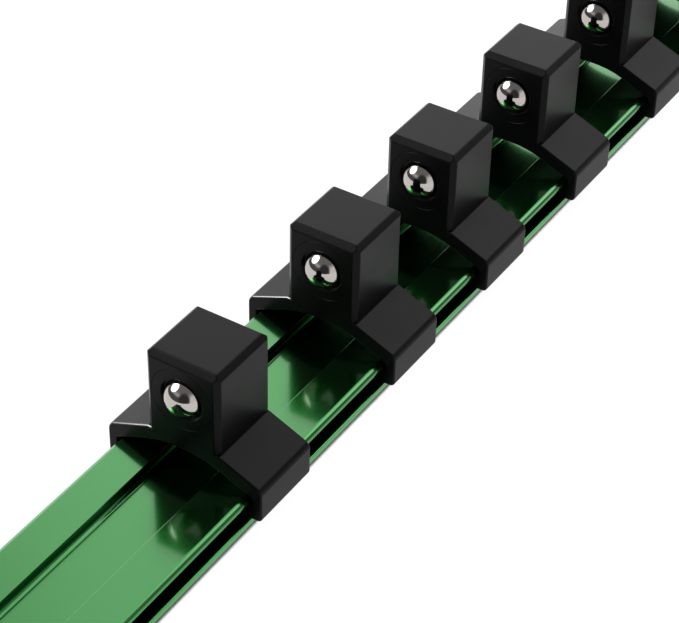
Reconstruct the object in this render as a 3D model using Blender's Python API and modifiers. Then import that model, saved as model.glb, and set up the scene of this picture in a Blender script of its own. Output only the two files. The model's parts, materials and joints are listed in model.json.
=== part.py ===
"""Socket rail for half-inch drive sockets.

A green anodised aluminium extrusion carries black moulded clips that slide
along it.  Each clip is a tent-shaped saddle that hooks under the rail's top
flanges and carries a square drive post, and each post has a sprung steel ball
held by a pressed-in retainer ring.  A push-in cap closes each end of the rail.

Metres, +X along the rail, +Z up, origin under the middle of the rail.
"""
import math

import bmesh
import bpy
from mathutils import Matrix, Vector

# Rail extrusion: its section is symmetric about the XZ plane
RAIL_LENGTH = 0.300
RAIL_WIDTH = 0.0232
RAIL_HEIGHT = 0.0061
FLANGE_THICKNESS = 0.0011
BASE_THICKNESS = 0.0017
RECESS_WIDTH = 0.0095
RECESS_DEPTH = 0.0022
RECESS_FILLET = 0.0004
RECESS_EDGE = 0.00015
WEB_WIDTH = 0.0122
SLOT_FILLET = 0.0003
NOSE_RADIUS = 0.0007
NOSE_UNDERCUT = 0.0002
BASE_EDGE = 0.0004

# Drive post: a half-inch square that a socket is pushed over; rises are from the rail's top
POST_WIDTH = 0.0127
POST_RISE = 0.0192
POST_EDGE = 0.0010
POST_FOOT_RISE = 0.00482
POST_FOOT_FILLET = 0.0003

# Saddle of the clip, as long along the rail as the post is
LEG_CLEARANCE = 0.0004
LEG_THICKNESS = 0.00157
LEG_EDGE = 0.0008
SHOULDER_RISE = 0.00183
SHOULDER_RADIUS = 0.0014
HOOK_SETBACK = 0.0015
HOOK_EDGE = 0.0004
HOOK_CLEARANCE = 0.0003
ROOF_FOOT_DROP = 0.0002
ROOF_PEAK_RISE = 0.0048
ROOF_PEAK_RADIUS = 0.0160
ROOF_FILLET = 0.0003
SADDLE_EDGE = 0.0003

# Each clip's front face, as a share of the rail's length from its near end
CLIP_FRONT_SHARES = (0.20567, 0.32600, 0.42167, 0.52343, 0.62663, 0.72500, 0.82267, 0.92033)

# Ball detent in the front face of the post
BALL_DIAMETER = 0.00635
BALL_SETBACK = 0.00115
BALL_DROP = 0.0066
BALL_CLEARANCE = 0.000175
RETAINER_WALL = 0.00185
RETAINER_LENGTH = 0.0024
RETAINER_CLEARANCE = 0.00015
MOUTH_FLARE = 0.00049
MOUTH_DEPTH = 0.00025
LIP_BITE = 0.000055
LIP_RELIEF = 0.0006
DETENT_BACK_WALL = 0.0027
SPRING_DIAMETER = 0.0044
SPRING_WIRE = 0.0005
SPRING_TURNS = 4
SEAT_GAP = 0.0003

# End caps: a plate across the rail's end with tongues that plug into it
CAP_THICKNESS = 0.0030
CAP_SIDE_MARGIN = 0.0016
CAP_TOP_MARGIN = 0.0018
CAP_CORNER = 0.0016
CAP_FOOT_CORNER = 0.0008
CAP_EDGE = 0.0005
CAP_TONGUE_LENGTH = 0.0045
CAP_CLEARANCE = 0.0003
CAP_TONGUE_EDGE = 0.0003

# Sizes that follow from the ones above
FLANGE_UNDER = RAIL_HEIGHT - FLANGE_THICKNESS
RECESS_FLOOR = RAIL_HEIGHT - RECESS_DEPTH
POST_TOP = RAIL_HEIGHT + POST_RISE
POST_FOOT = RAIL_HEIGHT + POST_FOOT_RISE
SHOULDER_HEIGHT = RAIL_HEIGHT + SHOULDER_RISE
ROOF_PEAK = RAIL_HEIGHT + ROOF_PEAK_RISE
LEG_INSIDE = RAIL_WIDTH / 2 + LEG_CLEARANCE
HALF_SADDLE = LEG_INSIDE + LEG_THICKNESS
BALL_RADIUS = BALL_DIAMETER / 2
BALL_HEIGHT = POST_TOP - BALL_DROP
BORE_RADIUS = BALL_RADIUS + BALL_CLEARANCE
RETAINER_RADIUS = BORE_RADIUS + RETAINER_WALL
DETENT_DEPTH = POST_WIDTH - DETENT_BACK_WALL

# Facets
ARC_STEPS = 4
SMALL_FILLET = 0.0005
SMALL_ARC_STEPS = 2
BEVEL_SEGMENTS = 2
RING_STEPS = 24
BALL_STEPS = 20
BALL_RINGS = 10
SPRING_STEPS = 8
SHARP_DEGREES = 35
BALL_SHARP_DEGREES = 60
ROUND_PROFILE = 0.5
CUT_OVERRUN = 0.0010
MERGE_DISTANCE = 0.00001

GREEN_ANODISED = ("green_anodised", (0.045, 0.26, 0.075), 0.16, 0.85)
BLACK_PLASTIC = ("black_plastic", (0.012, 0.012, 0.013), 0.42, 0.0)
CHROMED_STEEL = ("chromed_steel", (0.80, 0.79, 0.78), 0.06, 1.0)
SPRING_STEEL = ("spring_steel", (0.34, 0.34, 0.35), 0.28, 1.0)


def clear_scene():
    for item in list(bpy.data.objects):
        bpy.data.objects.remove(item, do_unlink=True)


def new_collection(name):
    collection = bpy.data.collections.new(name)
    bpy.context.scene.collection.children.link(collection)
    return collection


def make_material(name, colour, roughness, metallic):
    material = bpy.data.materials.new(name)
    material.use_nodes = True
    shader = material.node_tree.nodes["Principled BSDF"]
    shader.inputs["Base Color"].default_value = (*colour, 1.0)
    shader.inputs["Roughness"].default_value = roughness
    shader.inputs["Metallic"].default_value = metallic
    return material


def add_object(name, data, collection, material=None, parent=None):
    item = bpy.data.objects.new(name, data)
    collection.objects.link(item)
    if material is not None and not data.materials:
        data.materials.append(material)
    item.parent = parent
    return item


def add_empty(name, collection, location, parent=None):
    empty = bpy.data.objects.new(name, None)
    collection.objects.link(empty)
    empty.location = location
    empty.parent = parent
    return empty


def rounded_outline(corners):
    """Points of a closed outline; a corner is (across, up, fillet radius)."""
    points = []
    count = len(corners)
    for index, (across, up, radius) in enumerate(corners):
        corner = Vector((across, up))
        if radius == 0:
            points.append(corner)
            continue
        before = (Vector(corners[index - 1][:2]) - corner).normalized()
        after = (Vector(corners[(index + 1) % count][:2]) - corner).normalized()
        half_angle = before.angle(after) / 2
        centre = corner + (before + after).normalized() * radius / math.sin(half_angle)
        start = corner + before * radius / math.tan(half_angle) - centre
        end = corner + after * radius / math.tan(half_angle) - centre
        sweep = start.angle_signed(end)
        steps = ARC_STEPS if radius > SMALL_FILLET else SMALL_ARC_STEPS
        for step in range(steps + 1):
            turn = Matrix.Rotation(-sweep * step / steps, 2)
            points.append(centre + turn @ start)
    return points


def mirrored_outline(half):
    """Whole outline from the corners of its half at positive across."""
    other = [(-across, up, radius) for across, up, radius in reversed(half) if across > 0]
    return rounded_outline(half + other)


def extruded_bmesh(points, length):
    """Outline in the YZ plane, extruded from x = 0 along +X."""
    bm = bmesh.new()
    verts = [bm.verts.new((0.0, across, up)) for across, up in points]
    face = bm.faces.new(verts)
    grown = bmesh.ops.extrude_face_region(bm, geom=[face])
    moved = [item for item in grown["geom"] if isinstance(item, bmesh.types.BMVert)]
    bmesh.ops.translate(bm, vec=(length, 0.0, 0.0), verts=moved)
    return bm


def finish_mesh(bm, name, sharp_degrees=SHARP_DEGREES):
    bmesh.ops.recalc_face_normals(bm, faces=bm.faces)
    mesh = bpy.data.meshes.new(name)
    bm.to_mesh(mesh)
    bm.free()
    mesh.shade_smooth()
    mesh.set_sharp_from_angle(angle=math.radians(sharp_degrees))
    return mesh


def add_screw(item, steps):
    screw = item.modifiers.new("turned", "SCREW")
    screw.axis = "Z"
    screw.steps = steps
    screw.render_steps = steps
    screw.use_merge_vertices = True
    screw.merge_threshold = MERGE_DISTANCE
    screw.use_smooth_shade = True
    return screw


def profile_mesh(name, points, closed):
    """Profile for a turned piece; a point is (radius, height)."""
    bm = bmesh.new()
    verts = [bm.verts.new((radius, 0.0, height)) for radius, height in points]
    for first, second in zip(verts, verts[1:]):
        bm.edges.new((first, second))
    if closed:
        bm.edges.new((verts[-1], verts[0]))
    mesh = bpy.data.meshes.new(name)
    bm.to_mesh(mesh)
    bm.free()
    return mesh


def rail_half_section():
    half_width = RAIL_WIDTH / 2
    half_recess = RECESS_WIDTH / 2
    half_web = WEB_WIDTH / 2
    return [
        (half_recess, RECESS_FLOOR, RECESS_FILLET),
        (half_recess, RAIL_HEIGHT, RECESS_EDGE),
        (half_width, RAIL_HEIGHT, NOSE_RADIUS),
        (half_width, FLANGE_UNDER, NOSE_UNDERCUT),
        (half_web, FLANGE_UNDER, SLOT_FILLET),
        (half_web, BASE_THICKNESS, SLOT_FILLET),
        (half_width, BASE_THICKNESS, BASE_EDGE),
        (half_width, 0.0, BASE_EDGE),
    ]


def build_rail(collection, material):
    bm = extruded_bmesh(mirrored_outline(rail_half_section()), RAIL_LENGTH)
    rail = add_object("rail_extrusion", finish_mesh(bm, "rail_extrusion"), collection, material)
    rail.location.x = -RAIL_LENGTH / 2
    return rail


def clip_half_section():
    half_post = POST_WIDTH / 2
    hook_tip = WEB_WIDTH / 2 + HOOK_SETBACK
    hook_top = FLANGE_UNDER - HOOK_CLEARANCE
    hook_bottom = BASE_THICKNESS + HOOK_CLEARANCE
    return [
        (half_post, POST_TOP, 0.0),
        (half_post, POST_FOOT, POST_FOOT_FILLET),
        (HALF_SADDLE, SHOULDER_HEIGHT, SHOULDER_RADIUS),
        (HALF_SADDLE, hook_bottom, LEG_EDGE),
        (hook_tip, hook_bottom, HOOK_EDGE),
        (hook_tip, hook_top, HOOK_EDGE),
        (LEG_INSIDE, hook_top, ROOF_FILLET),
        (LEG_INSIDE, RAIL_HEIGHT - ROOF_FOOT_DROP, ROOF_FILLET),
        (0.0, ROOF_PEAK, ROOF_PEAK_RADIUS),
    ]


def edge_weight(edge):
    """Share of the post's edge rounding that an edge of the clip gets."""
    first, second = (vert.co for vert in edge.verts)
    middle = (first + second) / 2
    half_post = POST_WIDTH / 2
    on_end = math.isclose(first.x, second.x, abs_tol=MERGE_DISTANCE)
    above_foot = middle.z > POST_FOOT
    at_side = math.isclose(abs(middle.y), half_post, abs_tol=MERGE_DISTANCE)
    at_top = math.isclose(middle.z, POST_TOP, abs_tol=MERGE_DISTANCE)
    if at_top or (above_foot and at_side and on_end):
        return 1.0
    outside = abs(middle.y) > LEG_INSIDE or middle.z > ROOF_PEAK
    on_wing = abs(middle.y) > half_post and middle.z > SHOULDER_HEIGHT - SHOULDER_RADIUS
    if on_end and (outside or on_wing):
        return SADDLE_EDGE / POST_EDGE
    return 0.0


def clip_body_mesh():
    bm = extruded_bmesh(mirrored_outline(clip_half_section()), POST_WIDTH)
    weights = bm.edges.layers.float.new("bevel_weight_edge")
    for edge in bm.edges:
        edge[weights] = edge_weight(edge)
    return finish_mesh(bm, "clip_body")


def add_edge_rounding(item):
    rounding = item.modifiers.new("rounded_edges", "BEVEL")
    rounding.width = POST_EDGE
    rounding.segments = BEVEL_SEGMENTS
    rounding.limit_method = "WEIGHT"
    rounding.use_clamp_overlap = False


def add_cut(item, cutter):
    cut = item.modifiers.new("bore", "BOOLEAN")
    cut.operation = "DIFFERENCE"
    cut.solver = "EXACT"
    cut.object = cutter


def bore_profile():
    """Stepped hole for the retainer, ball and spring; height runs out of the post."""
    seat_radius = RETAINER_RADIUS + RETAINER_CLEARANCE
    seat_floor = -RETAINER_LENGTH - SEAT_GAP
    return [
        (0.0, CUT_OVERRUN),
        (seat_radius, CUT_OVERRUN),
        (seat_radius, seat_floor),
        (BORE_RADIUS, seat_floor),
        (BORE_RADIUS, -DETENT_DEPTH),
        (0.0, -DETENT_DEPTH),
    ]


def retainer_profile():
    """Closed section of the ring that holds the ball in its bore."""
    return [
        (RETAINER_RADIUS, 0.0),
        (RETAINER_RADIUS, -RETAINER_LENGTH),
        (BORE_RADIUS, -RETAINER_LENGTH),
        (BORE_RADIUS, -MOUTH_DEPTH - LIP_RELIEF),
        (BALL_RADIUS - LIP_BITE, -MOUTH_DEPTH),
        (BALL_RADIUS + MOUTH_FLARE, 0.0),
    ]


def ball_mesh():
    bm = bmesh.new()
    bmesh.ops.create_uvsphere(
        bm,
        u_segments=BALL_STEPS,
        v_segments=BALL_RINGS,
        radius=BALL_RADIUS,
    )
    return finish_mesh(bm, "detent_ball", BALL_SHARP_DEGREES)


def spring_curve():
    """Coil between the ball's back and the floor of the bore."""
    mean_radius = (SPRING_DIAMETER - SPRING_WIRE) / 2
    reach = BALL_RADIUS + SPRING_WIRE / 2 + SEAT_GAP
    top = -BALL_SETBACK - math.sqrt(reach ** 2 - mean_radius ** 2)
    bottom = -DETENT_DEPTH + SEAT_GAP + SPRING_WIRE / 2
    curve = bpy.data.curves.new("detent_spring", "CURVE")
    curve.dimensions = "3D"
    curve.bevel_depth = SPRING_WIRE / 2
    curve.bevel_resolution = 0
    curve.use_fill_caps = True
    spline = curve.splines.new("POLY")
    count = SPRING_TURNS * SPRING_STEPS + 1
    spline.points.add(count - 1)
    for index, point in enumerate(spline.points):
        angle = math.tau * index / SPRING_STEPS
        height = bottom + (top - bottom) * index / (count - 1)
        point.co = (mean_radius * math.cos(angle), mean_radius * math.sin(angle), height, 1.0)
    return curve


def build_clip(number, front, shared, collection, cutters, materials):
    slide = add_empty(f"clip_{number}_slide", collection, (front, 0.0, 0.0))
    body = add_object(
        f"clip_{number}_body", shared["body"], collection, materials["black"], slide
    )
    add_edge_rounding(body)
    detent = add_empty(f"clip_{number}_detent", collection, (0.0, 0.0, BALL_HEIGHT), slide)
    detent.rotation_euler.y = -math.pi / 2
    cutter = add_object(f"clip_{number}_bore", shared["bore"], cutters, None, detent)
    add_screw(cutter, RING_STEPS)
    cutter.hide_render = True
    cutter.display_type = "WIRE"
    add_cut(body, cutter)
    ring = add_object(
        f"clip_{number}_retainer", shared["retainer"], collection, materials["black"], detent
    )
    add_screw(ring, RING_STEPS)
    ball = add_object(
        f"clip_{number}_ball", shared["ball"], collection, materials["chrome"], detent
    )
    ball.location.z = -BALL_SETBACK
    add_object(
        f"clip_{number}_spring", shared["spring"], collection, materials["spring"], detent
    )


def clip_fronts():
    return [-RAIL_LENGTH / 2 + share * RAIL_LENGTH for share in CLIP_FRONT_SHARES]


def cap_plate_corners():
    half_width = RAIL_WIDTH / 2 + CAP_SIDE_MARGIN
    top = RAIL_HEIGHT + CAP_TOP_MARGIN
    return [
        (half_width, 0.0, CAP_FOOT_CORNER),
        (half_width, top, CAP_CORNER),
        (-half_width, top, CAP_CORNER),
        (-half_width, 0.0, CAP_FOOT_CORNER),
    ]


def cap_plate_mesh():
    """Plate across the rail's end, its outer rim rounded."""
    bm = extruded_bmesh(rounded_outline(cap_plate_corners()), CAP_THICKNESS)
    rim = [
        edge for edge in bm.edges
        if all(math.isclose(vert.co.x, CAP_THICKNESS, abs_tol=MERGE_DISTANCE) for vert in edge.verts)
    ]
    bmesh.ops.bevel(
        bm,
        geom=rim,
        offset=CAP_EDGE,
        segments=BEVEL_SEGMENTS,
        profile=ROUND_PROFILE,
        affect="EDGES",
    )
    return finish_mesh(bm, "end_cap")


def tongue_corners(side):
    """Tongue that fills one side slot of the rail, side +1 or -1."""
    inner = WEB_WIDTH / 2 + CAP_CLEARANCE
    outer = RAIL_WIDTH / 2
    low = BASE_THICKNESS + CAP_CLEARANCE
    high = FLANGE_UNDER - CAP_CLEARANCE
    return [
        (side * outer, low, CAP_TONGUE_EDGE),
        (side * outer, high, CAP_TONGUE_EDGE),
        (side * inner, high, CAP_TONGUE_EDGE),
        (side * inner, low, CAP_TONGUE_EDGE),
    ]


def pad_corners():
    """Pad that fills the rail's top recess flush with the bands."""
    half_width = RECESS_WIDTH / 2 - CAP_CLEARANCE
    low = RECESS_FLOOR + CAP_CLEARANCE
    return [
        (half_width, low, RECESS_FILLET),
        (half_width, RAIL_HEIGHT, RECESS_EDGE),
        (-half_width, RAIL_HEIGHT, RECESS_EDGE),
        (-half_width, low, RECESS_FILLET),
    ]


def plug_mesh(name, corners):
    """Prism that reaches from inside the plate into the rail, along -X."""
    length = CAP_TONGUE_LENGTH + CAP_CLEARANCE + CAP_THICKNESS / 2
    bm = extruded_bmesh(rounded_outline(corners), length)
    bmesh.ops.translate(bm, vec=(-CAP_TONGUE_LENGTH - CAP_CLEARANCE, 0.0, 0.0), verts=bm.verts)
    return finish_mesh(bm, name)


def add_union(item, other):
    join = item.modifiers.new("joined_plug", "BOOLEAN")
    join.operation = "UNION"
    join.solver = "EXACT"
    join.object = other


def build_end_cap(name, end, turn, plate, plugs, collection, cutters, material):
    cap = add_object(name, plate, collection, material)
    cap.location.x = end
    cap.rotation_euler.z = turn
    for plug in plugs:
        piece = add_object(f"{name}_{plug.name}", plug, cutters, None, cap)
        piece.hide_render = True
        piece.display_type = "WIRE"
        add_union(cap, piece)


def build_end_caps(collection, cutters, material):
    plate = cap_plate_mesh()
    plugs = [
        plug_mesh("left_tongue", tongue_corners(1)),
        plug_mesh("right_tongue", tongue_corners(-1)),
        plug_mesh("recess_pad", pad_corners()),
    ]
    end = RAIL_LENGTH / 2 + CAP_CLEARANCE
    build_end_cap("end_cap_far", end, 0.0, plate, plugs, collection, cutters, material)
    build_end_cap("end_cap_near", -end, math.pi, plate, plugs, collection, cutters, material)


def main():
    clear_scene()
    collection = new_collection("socket_rail")
    cutters = new_collection("cutters")
    materials = {
        "green": make_material(*GREEN_ANODISED),
        "black": make_material(*BLACK_PLASTIC),
        "chrome": make_material(*CHROMED_STEEL),
        "spring": make_material(*SPRING_STEEL),
    }
    build_rail(collection, materials["green"])
    shared = {
        "body": clip_body_mesh(),
        "bore": profile_mesh("bore", bore_profile(), False),
        "retainer": profile_mesh("retainer", retainer_profile(), True),
        "ball": ball_mesh(),
        "spring": spring_curve(),
    }
    for index, front in enumerate(clip_fronts()):
        build_clip(index + 1, front, shared, collection, cutters, materials)
    build_end_caps(collection, cutters, materials["black"])


main()
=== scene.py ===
"""Socket rail, dressed for a studio photograph.

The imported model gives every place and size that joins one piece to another.
Metres, +X along the rail, +Y to the left of the picture, +Z up.
"""
import json
import math

import bmesh
import bpy
from mathutils import Matrix, Vector

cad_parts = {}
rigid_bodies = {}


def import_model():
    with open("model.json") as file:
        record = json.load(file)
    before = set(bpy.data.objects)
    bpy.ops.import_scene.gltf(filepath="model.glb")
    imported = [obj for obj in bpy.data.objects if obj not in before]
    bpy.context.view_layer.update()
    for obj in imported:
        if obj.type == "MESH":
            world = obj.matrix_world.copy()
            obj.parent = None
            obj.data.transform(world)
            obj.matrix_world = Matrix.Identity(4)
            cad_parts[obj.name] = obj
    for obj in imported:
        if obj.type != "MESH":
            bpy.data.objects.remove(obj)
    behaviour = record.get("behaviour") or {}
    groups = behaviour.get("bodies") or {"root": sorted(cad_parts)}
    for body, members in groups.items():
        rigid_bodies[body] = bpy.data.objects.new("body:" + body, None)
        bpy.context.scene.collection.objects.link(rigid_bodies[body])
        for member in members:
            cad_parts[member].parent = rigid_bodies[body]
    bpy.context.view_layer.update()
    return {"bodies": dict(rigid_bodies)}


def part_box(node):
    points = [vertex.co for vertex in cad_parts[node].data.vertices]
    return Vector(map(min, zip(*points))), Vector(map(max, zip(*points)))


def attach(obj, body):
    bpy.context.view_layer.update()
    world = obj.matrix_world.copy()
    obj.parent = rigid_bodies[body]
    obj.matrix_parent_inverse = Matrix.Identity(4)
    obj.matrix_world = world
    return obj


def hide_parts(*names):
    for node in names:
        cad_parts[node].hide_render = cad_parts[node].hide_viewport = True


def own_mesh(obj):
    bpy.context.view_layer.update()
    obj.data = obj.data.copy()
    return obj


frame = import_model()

# Rail section
FLANGE_THICKNESS = 0.0011
BASE_THICKNESS = 0.0017
RECESS_WIDTH = 0.00935
RECESS_DEPTH = 0.0017
RECESS_FILLET = 0.0008
RECESS_EDGE = 0.00018
WEB_WIDTH = 0.0122
SLOT_FILLET = 0.0003
NOSE_RADIUS = 0.0009
NOSE_UNDERCUT = 0.00015
BASE_EDGE = 0.00015
BASE_FOOT_CHAMFER = 0.00065

# Clip
TOP_CHAMFER = 0.00095
TOP_SIDE_CHAMFER = 0.00085
TOP_BACK_CHAMFER = 0.00068
FRONT_CHAMFER = 0.00085
BACK_CHAMFER = 0.00035
POST_SOFTENING = 0.00014
POST_FOOT = 0.01092
POST_SINK = 0.0007
SHOULDER_HEIGHT = 0.00793
SHOULDER_RADIUS = 0.0014
LEG_THICKNESS = 0.00157
LEG_EDGE = 0.0008
HOOK_WIDTH = 0.0044
HOOK_EDGE = 0.0004
HOOK_CLEARANCE = 0.0003
ROOF_FOOT = 0.0059
ROOF_PEAK = 0.0109
ROOF_PEAK_RADIUS = 0.0160
ROOF_FILLET = 0.0003
SADDLE_EDGE = 0.00028

# Attribute that marks the rim faces for a painted highlight, and how far their normals turn
# from the front
SHEEN_MARK = "painted_sheen"
RIM_SIDE = 0.02
RIM_FRONT = 0.995

# Ball detent
BALL_HEIGHT = 0.0187
BALL_DIAMETER = 0.00635
BALL_SETBACK = 0.00115
BORE_DEPTH = 0.0100
BORE_CLEARANCE = 0.000175
RING_SEAM = 0.00002
RING_CHAMFER = 0.00003
MOUTH_DIAMETER = 0.0072
MOUTH_DEPTH = 0.0005
MOUTH_EDGE = 0.00003
LIP_DIAMETER = 0.00624
LIP_RELIEF = 0.0006
SPRING_WIRE = 0.0005
SPRING_TURNS = 5

# End caps
CAP_CORNER = 0.0016
CAP_FOOT_CORNER = 0.0008
CAP_EDGE = 0.0005
CAP_CLEARANCE = 0.0003
CAP_TONGUE_EDGE = 0.0003

# Shader that every material starts with, and how deep its grain goes
SURFACE = "Principled BSDF"
BUMP_DEPTH = 0.00002
POLISH_DEPTH = 0.00001

# Painted shade on the rail's recess walls and painted light on its outer sides: distances
# inside a face between which they change
SIDE_FADE = (0.0002, 0.0001)
SIDE_TOP_FADE = (0.0007, 0.0005)
WALL_FADE = (0.0002, 0.00005)
WALL_BACK_FADE = (-0.00002, -0.00008)
WALL_TOP_FADE = (0.00015, 0.00005)

# Floor and the shade where the rail touches it
FLOOR_SIZE = 6.0
FLOOR_DROP = 0.0002
FLOOR_LIGHT = 0.96
SHADE_REACH = 0.0009
SHADE_EDGE = (0.44, 0.66)
SHADE_SAMPLES = 8

# Making
SKETCH_SIZE = 0.001
NEAR = 0.00002
MERGE = 0.000002
FINE_ARC = 8
SMALL_ARC = 4
EDGE_ARC = 6
TURN_STEPS = 72
WIRE_SIDES = 12
WIRE_TURN_STEPS = 24
BALL_CUTS = 15
LARGEST_FACE_FIRST = 100

# Edges that turn by more than this many degrees stay sharp
RAIL_SHARP = 40
CLIP_SHARP = 32
RING_SHARP = 30
CAP_SHARP = 35

# Camera, solved from the photograph's straight edges
PHOTO_WIDTH = 679
FOCAL_PIXELS = 2161.46
SENSOR_WIDTH = 36.0
CAMERA_PLACE = (-0.272046, -0.140020, 0.217480)
CAMERA_RIGHT = (0.539771, -0.841618, 0.018071)
CAMERA_DOWN = (-0.515122, -0.347200, -0.783646)
NEAREST_SEEN = 0.01

# Studio light; a place is azimuth from +X towards +Y and elevation, in degrees,
# and an edge is the two cosines, or heights, between which a patch fades in
WALL_LIGHT = 1.0
CEILING_LIGHT = 0.22
CEILING_EDGE = (0.35, 0.80)
LOW_EDGE = (0.34, 0.60)
KEY_PLACE = (108.5, 39.0)
KEY_EDGE = (0.925, 0.985)
KEY_LIGHT = 15.0
GLOW_EDGE = (0.84, 0.985)
GLOW_LIGHT = 0.7
GLOW_FALL = 3

# Patches, each over the ones before: place, edge, light, whether only low down
PATCHES = (
    ((8.0, 45.0), (0.85, 0.93), 2.45, False),  # panel behind the rail
    ((50.0, 17.0), (0.86, 0.95), 3.0, False),  # skirt under that panel
    ((-26.0, 40.0), (0.962, 0.985), 4.2, False),  # panel at the right
    ((48.0, 9.0), (0.9935, 0.9985), 0.08, False),  # dark gap under the skirt
    ((-48.0, 8.0), (0.955, 0.99), 0.3, False),  # dark gap at the right
    ((160.0, 0.0), (0.15, 0.38), 0.11, True),  # dark side, where the camera stands
    ((206.0, 24.0), (0.80, 0.95), 0.05, False),  # darkest spot on that side
)


class Value:
    """A shader socket that arithmetic can be written with."""

    def __init__(self, graph, socket):
        self.graph = graph
        self.socket = socket

    def maths(self, operation, *others, first=None):
        start = self if first is None else first
        values = dict(enumerate((start, *others)))
        return self.graph.node("ShaderNodeMath", {"operation": operation}, values)

    def __add__(self, other):
        return self.maths("ADD", other)

    def __radd__(self, other):
        return self.maths("ADD", other)

    def __sub__(self, other):
        return self.maths("SUBTRACT", other)

    def __rsub__(self, other):
        return self.maths("SUBTRACT", self, first=other)

    def __mul__(self, other):
        return self.maths("MULTIPLY", other)

    def __rmul__(self, other):
        return self.maths("MULTIPLY", other)

    def __pow__(self, other):
        return self.maths("POWER", other)

    def smooth(self, low, high):
        """0 below low, 1 above high, and an even curve between."""
        settings = {"interpolation_type": "SMOOTHSTEP"}
        values = {"Value": self, "From Min": low, "From Max": high}
        return self.graph.node("ShaderNodeMapRange", settings, values)


class Graph:
    """A material's or the world's nodes."""

    def __init__(self, owner):
        owner.use_nodes = True
        self.nodes = owner.node_tree.nodes
        self.links = owner.node_tree.links

    def node(self, kind, settings=None, values=None, output=0):
        made = self.nodes.new(kind)
        for name, value in (settings or {}).items():
            setattr(made, name, value)
        for name, value in (values or {}).items():
            self.put(made.inputs[name], value)
        return Value(self, made.outputs[output])

    def put(self, socket, value):
        if isinstance(value, Value):
            self.links.new(value.socket, socket)
        else:
            socket.default_value = value

    def finish(self, shader, values):
        """Sets the named inputs of the material's or the world's shader."""
        for name, value in values.items():
            self.put(self.nodes[shader].inputs[name], value)

    def noise(self, place, scale, detail=2.0, roughness=0.5):
        values = {"Vector": place, "Scale": scale, "Detail": detail, "Roughness": roughness}
        return self.node("ShaderNodeTexNoise", {"noise_dimensions": "3D"}, values)

    def coordinates(self, scale=(1.0, 1.0, 1.0)):
        """Object coordinates, scaled by a vector to draw a pattern out."""
        place = self.node("ShaderNodeTexCoord", output="Object")
        values = {"Vector": place, "Scale": scale}
        return self.node("ShaderNodeMapping", {"vector_type": "POINT"}, values)

    def mixed(self, share, low, high):
        """A mix of two colours; the node's sockets 6 and 7 take them."""
        settings = {"data_type": "RGBA"}
        values = {0: share, 6: low, 7: high}
        return self.node("ShaderNodeMix", settings, values, output=2)

    def bump(self, height, strength, distance):
        values = {"Height": height, "Strength": strength, "Distance": distance}
        return self.node("ShaderNodeBump", None, values)


def new_material(name):
    material = bpy.data.materials.new(name)
    return material, Graph(material)


def across_and_up(graph):
    """Distance from the rail's middle plane, and height."""
    place = graph.node("ShaderNodeTexCoord", output="Object")
    across = graph.node("ShaderNodeSeparateXYZ", None, {0: place}, output="Y").maths("ABSOLUTE")
    up = graph.node("ShaderNodeSeparateXYZ", None, {0: place}, output="Z")
    return across, up


def beyond(value, face, fade):
    """0 well inside a face and 1 at it; the fade is two distances inside the face."""
    start, end = fade
    return value.smooth(face - start, face - end)


def painted_light_sides(across, up):
    """1 on the rail's upright outer sides, where light is painted: a brighter green with less
    coat.
    """
    half_width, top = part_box("rail_extrusion")[1][1:]
    outside = beyond(across, half_width, SIDE_FADE)
    below = 1 - beyond(up, top, SIDE_TOP_FADE)
    return outside * below


def recess_wall_shade(across, up):
    """1 on the recess's upright walls, where shade is painted: another green with almost no
    coat, so they reflect less.
    """
    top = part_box("rail_extrusion")[1][2]
    beside = beyond(across, RECESS_WIDTH / 2, WALL_FADE)
    inside = 1 - beyond(across, RECESS_WIDTH / 2, WALL_BACK_FADE)
    below = 1 - beyond(up, top, WALL_TOP_FADE)
    return beside * inside * below


def green_anodise():
    """Dyed, sealed aluminium: a green mirror with faint lines from the extrusion die; shade is
    painted on the recess walls and light on the outer sides.
    """
    material, graph = new_material("green_anodise")
    along = graph.coordinates((2.0, 900.0, 900.0))
    place = graph.coordinates()
    die_lines = graph.noise(along, scale=3.0, detail=4.0, roughness=0.6)
    cloud = graph.noise(place, scale=55.0, detail=3.0)
    grain = graph.noise(place, scale=5200.0)
    across, up = across_and_up(graph)
    wall = recess_wall_shade(across, up)
    side = painted_light_sides(across, up)
    deep = (0.0077, 0.111, 0.0156, 1.0)
    pale = (0.0092, 0.124, 0.0185, 1.0)
    # Painted shade on the recess walls: this green with almost no coat
    wall_shade_colour = (0.0005, 0.125, 0.024, 1.0)
    # Painted light on the outer sides: a brighter green than the top
    bright = (0.03, 0.27, 0.05, 1.0)
    top = graph.mixed(cloud, deep, pale)
    relief = 0.7 * die_lines + 0.3 * grain
    graph.finish(SURFACE, {
        "Base Color": graph.mixed(side, graph.mixed(wall, top, wall_shade_colour), bright),
        "Roughness": 0.15 + 0.05 * die_lines + 0.03 * cloud,
        "Normal": graph.bump(relief, strength=0.05, distance=BUMP_DEPTH),
        "Metallic": 1.0,
        # Painted shade and light: the coat is taken off the recess walls and thinned on the
        # outer sides
        "Coat Weight": 0.59 - 0.57 * wall - 0.35 * side,
        "Coat IOR": 1.6,
        "Coat Roughness": 0.09,
    })
    return material


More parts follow.
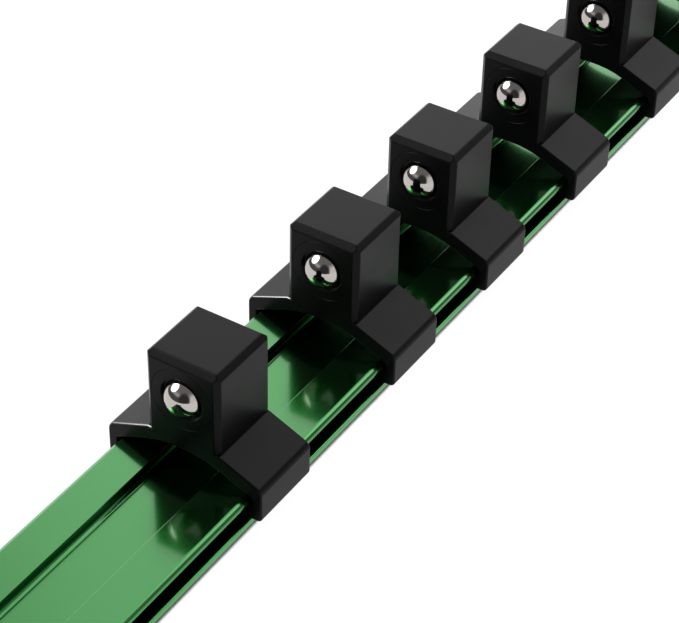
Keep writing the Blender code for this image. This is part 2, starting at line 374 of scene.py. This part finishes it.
def black_plastic():
    """Satin moulded plastic with the fine grain of a spark-eroded mould, and a painted
    highlight: a glossy coat on the marked rim only.
    """
    material, graph = new_material("black_plastic")
    place = graph.coordinates()
    grain = graph.noise(place, scale=5200.0, detail=3.0, roughness=0.6)
    patches = graph.noise(place, scale=260.0, detail=3.0)
    flow = graph.noise(graph.coordinates((1.0, 1.0, 0.35)), scale=90.0)
    painted_sheen = graph.node("ShaderNodeAttribute", {"attribute_name": SHEEN_MARK}, output="Fac")
    dark = (0.0014, 0.0014, 0.0015, 1.0)
    light = (0.0030, 0.0030, 0.0032, 1.0)
    graph.finish(SURFACE, {
        "Base Color": graph.mixed(flow, dark, light),
        "Roughness": 0.25 + 0.09 * patches + 0.05 * grain,
        "Normal": graph.bump(grain, strength=0.18, distance=BUMP_DEPTH),
        "IOR": 1.45,
        "Specular IOR Level": 0.095,
        # Painted highlight: the glossy coat goes only on the marked rim of the left wing
        "Coat Weight": painted_sheen * (0.75 + 0.25 * patches),
        "Coat IOR": 1.9,
        "Coat Roughness": 0.08,
    })
    return material


def chromed_steel():
    """Polished ball with a few hairline marks from rubbing in its ring."""
    material, graph = new_material("chromed_steel")
    haze = graph.noise(graph.coordinates(), scale=700.0, detail=3.0)
    drawn_out = graph.coordinates((400.0, 60.0, 60.0))
    scratches = graph.noise(drawn_out, scale=6.0, detail=4.0, roughness=0.7)
    marks = scratches.smooth(0.60, 0.72)
    bright = (0.465, 0.435, 0.41, 1.0)
    dull = (0.36, 0.34, 0.32, 1.0)
    graph.finish(SURFACE, {
        "Base Color": graph.mixed(marks * 0.4, bright, dull),
        "Roughness": 0.025 + 0.02 * haze + 0.05 * marks,
        "Normal": graph.bump(haze, strength=0.02, distance=POLISH_DEPTH),
        "Metallic": 1.0,
    })
    return material


def spring_wire():
    """Drawn steel wire."""
    material, graph = new_material("spring_wire")
    drawn = graph.noise(graph.coordinates(), scale=2600.0, detail=3.0)
    dark = (0.24, 0.24, 0.25, 1.0)
    light = (0.42, 0.42, 0.43, 1.0)
    graph.finish(SURFACE, {
        "Base Color": graph.mixed(drawn, dark, light),
        "Roughness": 0.22 + 0.14 * drawn,
        "Metallic": 1.0,
    })
    return material


def select_none():
    if bpy.context.object is not None and bpy.context.object.mode != "OBJECT":
        bpy.ops.object.mode_set(mode="OBJECT")
    bpy.ops.object.select_all(action="DESELECT")


def work_on(piece):
    select_none()
    piece.select_set(True)
    bpy.context.view_layer.objects.active = piece


def select_where(piece, kind, test):
    """Selects the vertices, edges or faces in edit mode that pass a test."""
    modes = {"verts": "VERT", "edges": "EDGE", "faces": "FACE"}
    bpy.ops.mesh.select_mode(type=modes[kind])
    bpy.ops.mesh.select_all(action="DESELECT")
    bm = bmesh.from_edit_mesh(piece.data)
    for item in getattr(bm, kind):
        if test(item):
            item.select_set(True)
    bm.select_flush_mode()
    bmesh.update_edit_mesh(piece.data)


def draw_line(name, points):
    """A line of vertices, drawn by extruding the first one; leaves edit mode on."""
    select_none()
    bpy.ops.mesh.primitive_plane_add(size=SKETCH_SIZE, location=points[0])
    piece = bpy.context.object
    piece.name = name
    bpy.ops.object.transform_apply(location=True, rotation=True, scale=True)
    bpy.ops.object.mode_set(mode="EDIT")
    bpy.ops.mesh.select_mode(type="VERT")
    bpy.ops.mesh.select_all(action="SELECT")
    bpy.ops.mesh.merge(type="CENTER")
    for start, end in zip(points, points[1:]):
        step = Vector(end) - Vector(start)
        bpy.ops.mesh.extrude_vertices_move(TRANSFORM_OT_translate={"value": step})
    return piece


def round_corner(piece, point, before, after, radius, steps):
    """Rounds the outline's vertex at a point between its two neighbours."""
    to_before = Vector(before) - Vector(point)
    to_after = Vector(after) - Vector(point)
    reach = radius / math.tan(to_before.angle(to_after) / 2)
    select_where(piece, "verts", lambda vert: (vert.co - Vector(point)).length < NEAR)
    bpy.ops.mesh.bevel(
        offset=reach,
        offset_type="OFFSET",
        segments=steps,
        affect="VERTICES",
        clamp_overlap=False,
    )


def draw_section(name, corners):
    """A flat face across the rail at x = 0; a corner is (across, up, radius)."""
    points = [(0.0, across, up) for across, up, radius in corners]
    piece = draw_line(name, points)
    bpy.ops.mesh.select_all(action="SELECT")
    bpy.ops.mesh.edge_face_add()
    count = len(corners)
    for index, (across, up, radius) in enumerate(corners):
        if radius > 0:
            steps = FINE_ARC if radius > HOOK_EDGE else SMALL_ARC
            before = points[index - 1]
            after = points[(index + 1) % count]
            round_corner(piece, points[index], before, after, radius, steps)
    return piece


def pull_along(piece, start, end):
    """Extrudes the section from x = start to x = end; leaves edit mode on."""
    bpy.ops.mesh.select_all(action="SELECT")
    bpy.ops.transform.translate(value=(start, 0.0, 0.0))
    step = (end - start, 0.0, 0.0)
    bpy.ops.mesh.extrude_region_move(TRANSFORM_OT_translate={"value": step})
    bpy.ops.mesh.select_all(action="SELECT")
    bpy.ops.mesh.normals_make_consistent(inside=False)


def both_sides(half):
    """Whole outline from the corners of its half at positive across."""
    other = [(-across, up, radius) for across, up, radius in reversed(half) if across > 0]
    return half + other


def spin_round(name, points, closed, height):
    """Turns a profile of (along, radius) points about the detent's axis."""
    drawn = [(along, 0.0, height + radius) for along, radius in points]
    piece = draw_line(name, drawn)
    if closed:
        ends = (Vector(drawn[0]), Vector(drawn[-1]))

        def at_an_end(vert):
            return any((vert.co - end).length < NEAR for end in ends)

        select_where(piece, "verts", at_an_end)
        bpy.ops.mesh.edge_face_add()
    bpy.ops.mesh.select_all(action="SELECT")
    bpy.ops.mesh.spin(
        steps=TURN_STEPS, angle=math.tau, center=(0.0, 0.0, height), axis=(1.0, 0.0, 0.0)
    )
    bpy.ops.mesh.select_all(action="SELECT")
    bpy.ops.mesh.remove_doubles(threshold=MERGE)
    bpy.ops.mesh.normals_make_consistent(inside=False)
    bpy.ops.object.mode_set(mode="OBJECT")
    return piece


def apply_modifier(piece, kind, **settings):
    work_on(piece)
    modifier = piece.modifiers.new(kind.lower(), kind)
    for name, value in settings.items():
        setattr(modifier, name, value)
    bpy.ops.object.modifier_apply(modifier=modifier.name)


def cut_away(piece, cutter):
    apply_modifier(piece, "BOOLEAN", operation="DIFFERENCE", solver="EXACT", object=cutter)
    bpy.data.objects.remove(cutter, do_unlink=True)


def join_solid(piece, other):
    apply_modifier(piece, "BOOLEAN", operation="UNION", solver="EXACT", object=other)
    bpy.data.objects.remove(other, do_unlink=True)


def smooth_shading(piece, degrees):
    """Smooth fillets beside flat faces: big faces keep their own normal."""
    work_on(piece)
    bpy.ops.object.shade_smooth_by_angle(angle=math.radians(degrees))
    apply_modifier(piece, "WEIGHTED_NORMAL", keep_sharp=True, weight=LARGEST_FACE_FIRST)


def dress(piece, name, material, node, body):
    """Names, paints and seats a finished piece that stands for a node."""
    piece.name = name
    piece.data.name = name
    piece.data.materials.clear()
    piece.data.materials.append(material)
    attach(piece, body)
    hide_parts(node)


def copy_along(piece, shift):
    """A copy with its own mesh, moved along the rail."""
    copy = piece.copy()
    copy.data = piece.data.copy()
    bpy.context.scene.collection.objects.link(copy)
    copy.data.transform(Matrix.Translation((shift, 0.0, 0.0)))
    return copy


def make_rail(material):
    low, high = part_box("rail_extrusion")
    half_width = high[1]
    top = high[2]
    half_recess = RECESS_WIDTH / 2
    half_web = WEB_WIDTH / 2
    under = top - FLANGE_THICKNESS
    half = [
        (half_recess, top - RECESS_DEPTH, RECESS_FILLET),
        (half_recess, top, RECESS_EDGE),
        (half_width, top, NOSE_RADIUS),
        (half_width, under, NOSE_UNDERCUT),
        (half_web, under, SLOT_FILLET),
        (half_web, BASE_THICKNESS, SLOT_FILLET),
        (half_width, BASE_THICKNESS, BASE_EDGE),
        (half_width, low[2] + BASE_FOOT_CHAMFER, 0.0),
        (half_width - BASE_FOOT_CHAMFER, low[2], 0.0),
    ]
    rail = draw_section("rail", both_sides(half))
    pull_along(rail, low[0], high[0])
    bpy.ops.object.mode_set(mode="OBJECT")
    smooth_shading(rail, RAIL_SHARP)
    dress(rail, "green_rail", material, "rail_extrusion", "rail")


def saddle_section(low, high):
    half_post = (high[0] - low[0]) / 2
    half_saddle = high[1]
    leg_inside = half_saddle - LEG_THICKNESS
    hook_tip = leg_inside - HOOK_WIDTH
    rail_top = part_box("rail_extrusion")[1][2]
    hook_top = rail_top - FLANGE_THICKNESS - HOOK_CLEARANCE
    half = [
        (half_post, POST_FOOT, 0.0),
        (half_saddle, SHOULDER_HEIGHT, SHOULDER_RADIUS),
        (half_saddle, low[2], LEG_EDGE),
        (hook_tip, low[2], HOOK_EDGE),
        (hook_tip, hook_top, HOOK_EDGE),
        (leg_inside, hook_top, ROOF_FILLET),
        (leg_inside, ROOF_FOOT, ROOF_FILLET),
        (0.0, ROOF_PEAK, ROOF_PEAK_RADIUS),
    ]
    return both_sides(half)


def make_saddle(low, high):
    saddle = draw_section("saddle", saddle_section(low, high))
    pull_along(saddle, low[0], high[0])

    def on_rim(edge):
        first, second = (vert.co for vert in edge.verts)
        return abs(first.x - second.x) < NEAR

    select_where(saddle, "edges", on_rim)
    bpy.ops.mesh.bevel(
        offset=SADDLE_EDGE, segments=SMALL_ARC, affect="EDGES", clamp_overlap=False
    )
    bpy.ops.object.mode_set(mode="OBJECT")
    return saddle


def make_post(low, high):
    """Square post; its foot reaches down into the saddle's roof."""
    width = high[0] - low[0]
    foot = POST_FOOT - POST_SINK
    middle = ((low[0] + high[0]) / 2, 0.0, foot + width / 2)
    select_none()
    bpy.ops.mesh.primitive_cube_add(size=width, location=middle)
    post = bpy.context.object
    bpy.ops.object.transform_apply(location=True, rotation=True, scale=True)
    bpy.ops.object.mode_set(mode="EDIT")
    select_where(post, "faces", lambda face: face.normal.z > 0.5)
    bpy.ops.transform.translate(value=(0.0, 0.0, high[2] - foot - width))
    chamfer_post(low, high)

    def above_foot(edge):
        return max(vert.co.z for vert in edge.verts) > foot + NEAR

    select_where(post, "edges", above_foot)
    bpy.ops.mesh.bevel(
        offset=POST_SOFTENING, segments=SMALL_ARC, affect="EDGES", clamp_overlap=False
    )
    bpy.ops.object.mode_set(mode="OBJECT")
    return post


def slice_off(point, normal):
    """Cuts the mesh in edit mode with a plane and closes the cut."""
    bpy.ops.mesh.select_all(action="SELECT")
    bpy.ops.mesh.bisect(plane_co=point, plane_no=normal, use_fill=True, clear_outer=True)


def chamfer_post(low, high):
    """Flat chamfers: wide round the top's front and sides, narrow at the back."""
    front, back, top = low[0], high[0], high[2]
    half = (back - front) / 2
    slice_off((front + TOP_CHAMFER, 0.0, top), (-1.0, 0.0, 1.0))
    slice_off((back - TOP_BACK_CHAMFER, 0.0, top), (1.0, 0.0, 1.0))
    for side in (1.0, -1.0):
        slice_off((front, side * (half - TOP_SIDE_CHAMFER), top), (0.0, side, 1.0))
        slice_off((front, side * (half - FRONT_CHAMFER), top), (-1.0, side, 0.0))
        slice_off((back, side * (half - BACK_CHAMFER), top), (1.0, side, 0.0))


def bore_cutter(front):
    ring_radius, ring_length = (size + RING_SEAM for size in ring_size())
    bore_radius = BALL_DIAMETER / 2 + BORE_CLEARANCE
    seat = front + ring_length
    outside = front - SKETCH_SIZE
    points = [
        (outside, 0.0),
        (outside, ring_radius + RING_CHAMFER + SKETCH_SIZE),
        (front, ring_radius + RING_CHAMFER),
        (front + RING_CHAMFER, ring_radius),
        (seat, ring_radius),
        (seat, bore_radius),
        (front + BORE_DEPTH, bore_radius),
        (front + BORE_DEPTH, 0.0),
    ]
    return spin_round("bore_cutter", points, False, BALL_HEIGHT)


def ring_size():
    """Radius and length of the retainer ring."""
    low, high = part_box("clip_1_retainer")
    return (high[1] - low[1]) / 2, high[0] - low[0]


def make_clip_body():
    low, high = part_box("clip_1_body")
    clip = make_saddle(low, high)
    join_solid(clip, make_post(low, high))
    cut_away(clip, bore_cutter(low[0]))
    smooth_shading(clip, CLIP_SHARP)
    mark_painted_sheen(clip, low[0])
    return clip


def mark_painted_sheen(clip, front):
    """Marks the left wing's front rim, where a painted highlight goes: the glossy coat is put
    on these faces only.
    """
    marks = clip.data.attributes.new(SHEEN_MARK, "FLOAT", "FACE")
    ring_radius = ring_size()[0]
    for face in clip.data.polygons:
        behind_front = NEAR < face.center.x - front < SADDLE_EDGE
        on_rim = behind_front and RIM_SIDE < -face.normal.x < RIM_FRONT
        beside_post = face.center.y > ring_radius
        above_legs = SHOULDER_HEIGHT - SHOULDER_RADIUS < face.center.z < POST_FOOT + NEAR
        marks.data[face.index].value = 1.0 if on_rim and beside_post and above_legs else 0.0


def make_retainer():
    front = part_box("clip_1_retainer")[0][0]
    radius, length = ring_size()
    back = front + length
    bore_radius = BALL_DIAMETER / 2 + BORE_CLEARANCE
    points = [
        (front, radius - RING_CHAMFER),
        (front + RING_CHAMFER, radius),
        (back, radius),
        (back, bore_radius),
        (front + MOUTH_DEPTH + LIP_RELIEF, bore_radius),
        (front + MOUTH_DEPTH, LIP_DIAMETER / 2),
        (front + MOUTH_EDGE, MOUTH_DIAMETER / 2 - MOUTH_EDGE),
        (front, MOUTH_DIAMETER / 2 + MOUTH_EDGE),
    ]
    ring = spin_round("retainer", points, True, BALL_HEIGHT)
    smooth_shading(ring, RING_SHARP)
    return ring


def make_ball():
    """A cube subdivided and swelled to a sphere, so it has no poles."""
    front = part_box("clip_1_retainer")[0][0]
    select_none()
    centre = (front + BALL_SETBACK, 0.0, BALL_HEIGHT)
    bpy.ops.mesh.primitive_cube_add(size=BALL_DIAMETER, location=centre)
    ball = bpy.context.object
    bpy.ops.object.mode_set(mode="EDIT")
    bpy.ops.mesh.select_all(action="SELECT")
    bpy.ops.mesh.subdivide(number_cuts=BALL_CUTS)
    bpy.ops.transform.tosphere(value=1.0)
    bpy.ops.object.mode_set(mode="OBJECT")
    swelled = max(vert.co.length for vert in ball.data.vertices)
    ball.scale = Vector((1.0, 1.0, 1.0)) * (BALL_DIAMETER / 2 / swelled)
    bpy.ops.object.transform_apply(location=True, rotation=True, scale=True)
    bpy.ops.object.shade_smooth()
    return ball


def make_spring():
    """A round wire wound about the detent's axis and cut off flat at both ends."""
    low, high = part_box("clip_1_spring")
    mean_radius = (high[1] - low[1] - SPRING_WIRE) / 2
    start = low[0] + SPRING_WIRE / 2
    length = high[0] - low[0] - SPRING_WIRE
    select_none()
    bpy.ops.mesh.primitive_circle_add(
        vertices=WIRE_SIDES,
        radius=SPRING_WIRE / 2,
        location=(0.0, 0.0, 0.0),
        rotation=(math.pi / 2, 0.0, 0.0),
    )
    wire = bpy.context.object
    bpy.ops.object.transform_apply(location=True, rotation=True, scale=True)
    wire.data.transform(Matrix.Translation((0.0, 0.0, mean_radius)))
    apply_modifier(
        wire,
        "SCREW",
        axis="X",
        angle=math.tau * SPRING_TURNS,
        screw_offset=length,
        steps=WIRE_TURN_STEPS * SPRING_TURNS,
        render_steps=WIRE_TURN_STEPS * SPRING_TURNS,
        use_merge_vertices=False,
    )
    work_on(wire)
    bpy.ops.object.mode_set(mode="EDIT")
    bpy.ops.mesh.select_all(action="SELECT")
    bpy.ops.mesh.fill_holes(sides=WIRE_SIDES)
    bpy.ops.mesh.normals_make_consistent(inside=False)
    bpy.ops.object.mode_set(mode="OBJECT")
    wire.data.transform(Matrix.Translation((start, 0.0, BALL_HEIGHT)))
    work_on(wire)
    bpy.ops.object.shade_smooth()
    return wire


def make_clips(black, chrome, steel):
    """Models each kind of piece once, then copies it to every clip."""
    kinds = {
        "body": (make_clip_body(), "post_clip", black, "black_plastic"),
        "retainer": (make_retainer(), "ball_ring", black, "black_plastic"),
        "ball": (make_ball(), "steel_ball", chrome, "chromed_steel"),
        "spring": (make_spring(), "coil_spring", steel, "spring_steel"),
    }
    first_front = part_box("clip_1_body")[0][0]
    numbers = [int(name.split("_")[1]) for name in frame["bodies"] if name.startswith("clip_")]
    for number in sorted(numbers):
        clip_body = f"clip_{number}"
        ball_body = f"ball_{number}"
        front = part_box(f"{clip_body}_body")[0][0]
        for kind, (original, name, material, slot_name) in kinds.items():
            piece = copy_along(original, front - first_front)
            body = ball_body if kind == "ball" else clip_body
            dress(piece, f"{name}_{number}", material, f"{clip_body}_{kind}", body)
            if kind == "spring":
                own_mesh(piece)
    for kind in kinds.values():
        bpy.data.objects.remove(kind[0], do_unlink=True)


def cap_plate(low, high, outer, inner):
    """Plate with a rounded outer rim, from x = inner to x = outer."""
    half = [
        (high[1], low[2], CAP_FOOT_CORNER),
        (high[1], high[2], CAP_CORNER),
    ]
    plate = draw_section("cap_plate", both_sides(half))
    pull_along(plate, inner, outer)

    def on_rim(edge):
        return all(abs(vert.co.x - outer) < NEAR for vert in edge.verts)

    select_where(plate, "edges", on_rim)
    bpy.ops.mesh.bevel(offset=CAP_EDGE, segments=EDGE_ARC, affect="EDGES", clamp_overlap=False)
    bpy.ops.object.mode_set(mode="OBJECT")
    return plate


def cap_plug(corners, start, end):
    plug = draw_section("cap_plug", corners)
    pull_along(plug, start, end)
    bpy.ops.object.mode_set(mode="OBJECT")
    return plug


def make_end_cap(node, material, name):
    low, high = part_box(node)
    rail_low, rail_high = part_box("rail_extrusion")
    far = high[0] > 0
    outer = high[0] if far else low[0]
    tip = low[0] if far else high[0]
    rail_end = rail_high[0] if far else rail_low[0]
    inner = rail_end + (CAP_CLEARANCE if far else -CAP_CLEARANCE)
    cap = cap_plate(low, high, outer, inner)
    root = (inner + outer) / 2
    top = rail_high[2]
    under = top - FLANGE_THICKNESS - CAP_CLEARANCE
    above = BASE_THICKNESS + CAP_CLEARANCE
    tongue_inside = WEB_WIDTH / 2 + CAP_CLEARANCE
    for side in (1, -1):
        corners = [
            (side * rail_high[1], above, CAP_TONGUE_EDGE),
            (side * rail_high[1], under, CAP_TONGUE_EDGE),
            (side * tongue_inside, under, CAP_TONGUE_EDGE),
            (side * tongue_inside, above, CAP_TONGUE_EDGE),
        ]
        join_solid(cap, cap_plug(corners, tip, root))
    pad_width = RECESS_WIDTH / 2 - CAP_CLEARANCE
    pad_low = top - RECESS_DEPTH + CAP_CLEARANCE
    pad = [(pad_width, pad_low, CAP_TONGUE_EDGE), (pad_width, top, RECESS_EDGE)]
    join_solid(cap, cap_plug(both_sides(pad), tip, root))
    smooth_shading(cap, CAP_SHARP)
    dress(cap, name, material, node, "rail")


def make_floor():
    """Bright seamless sweep under the rail."""
    select_none()
    bpy.ops.mesh.primitive_plane_add(size=FLOOR_SIZE, location=(0.0, 0.0, -FLOOR_DROP))
    floor = bpy.context.object
    floor.name = "studio_floor"
    material, graph = new_material("studio_floor")
    paper = graph.noise(graph.coordinates(), scale=60.0)
    white = (0.10, 0.10, 0.10, 1.0)
    grey = (0.09, 0.09, 0.09, 1.0)
    settings = {"samples": SHADE_SAMPLES}
    values = {"Distance": SHADE_REACH}
    open_sky = graph.node("ShaderNodeAmbientOcclusion", settings, values, output="AO")
    graph.finish(SURFACE, {
        "Base Color": graph.mixed(paper, white, grey),
        "Roughness": 0.9,
        "Specular IOR Level": 0.0,
        "Emission Color": open_sky.smooth(*SHADE_EDGE),
        "Emission Strength": FLOOR_LIGHT,
    })
    floor.data.materials.append(material)


def towards(azimuth, elevation):
    """Unit vector; azimuth is turned from +X towards +Y, both in degrees."""
    turn = math.radians(azimuth)
    rise = math.radians(elevation)
    level = math.cos(rise)
    return Vector((math.cos(turn) * level, math.sin(turn) * level, math.sin(rise)))


def make_world():
    """White walls and a dim ceiling, with bright panels and dark places over them."""
    world = bpy.data.worlds.new("studio")
    bpy.context.scene.world = world
    graph = Graph(world)
    direction = graph.node("ShaderNodeTexCoord", output="Generated")
    height = graph.node("ShaderNodeSeparateXYZ", None, {0: direction}, output="Z")

    def around(place, edge):
        """1 near a place on the studio's wall, 0 away from it."""
        settings = {"operation": "DOT_PRODUCT"}
        values = {0: direction, 1: towards(*place)}
        facing = graph.node("ShaderNodeVectorMath", settings, values, output="Value")
        return facing.smooth(*edge)

    low_down = 1 - height.smooth(*LOW_EDGE)
    ceiling = height.smooth(*CEILING_EDGE)
    level = WALL_LIGHT - (WALL_LIGHT - CEILING_LIGHT) * ceiling
    for place, edge, light, only_low in PATCHES:
        share = around(place, edge)
        if only_low:
            share = share * low_down
        level = level + (light - level) * share
    key = around(KEY_PLACE, KEY_EDGE)
    glow = around(KEY_PLACE, GLOW_EDGE) ** GLOW_FALL
    level = level + KEY_LIGHT * key + GLOW_LIGHT * glow
    graph.finish("Background", {"Color": (1.0, 1.0, 1.0, 1.0), "Strength": level})


def make_camera():
    right = Vector(CAMERA_RIGHT).normalized()
    up = -Vector(CAMERA_DOWN).normalized()
    back = right.cross(up).normalized()
    data = bpy.data.cameras.new("camera")
    data.sensor_width = SENSOR_WIDTH
    data.lens = FOCAL_PIXELS / PHOTO_WIDTH * SENSOR_WIDTH
    data.clip_start = NEAREST_SEEN
    camera = bpy.data.objects.new("camera", data)
    bpy.context.scene.collection.objects.link(camera)
    turn = Matrix((right, up, back)).transposed()
    camera.matrix_world = Matrix.Translation(CAMERA_PLACE) @ turn.to_4x4()
    bpy.context.scene.camera = camera
    bpy.context.scene.view_settings.view_transform = "Standard"


def main():
    make_camera()
    green = green_anodise()
    black = black_plastic()
    make_rail(green)
    make_clips(black, chromed_steel(), spring_wire())
    make_end_cap("end_cap_near", black, "near_end_cap")
    make_end_cap("end_cap_far", black, "far_end_cap")
    make_floor()
    make_world()


main()
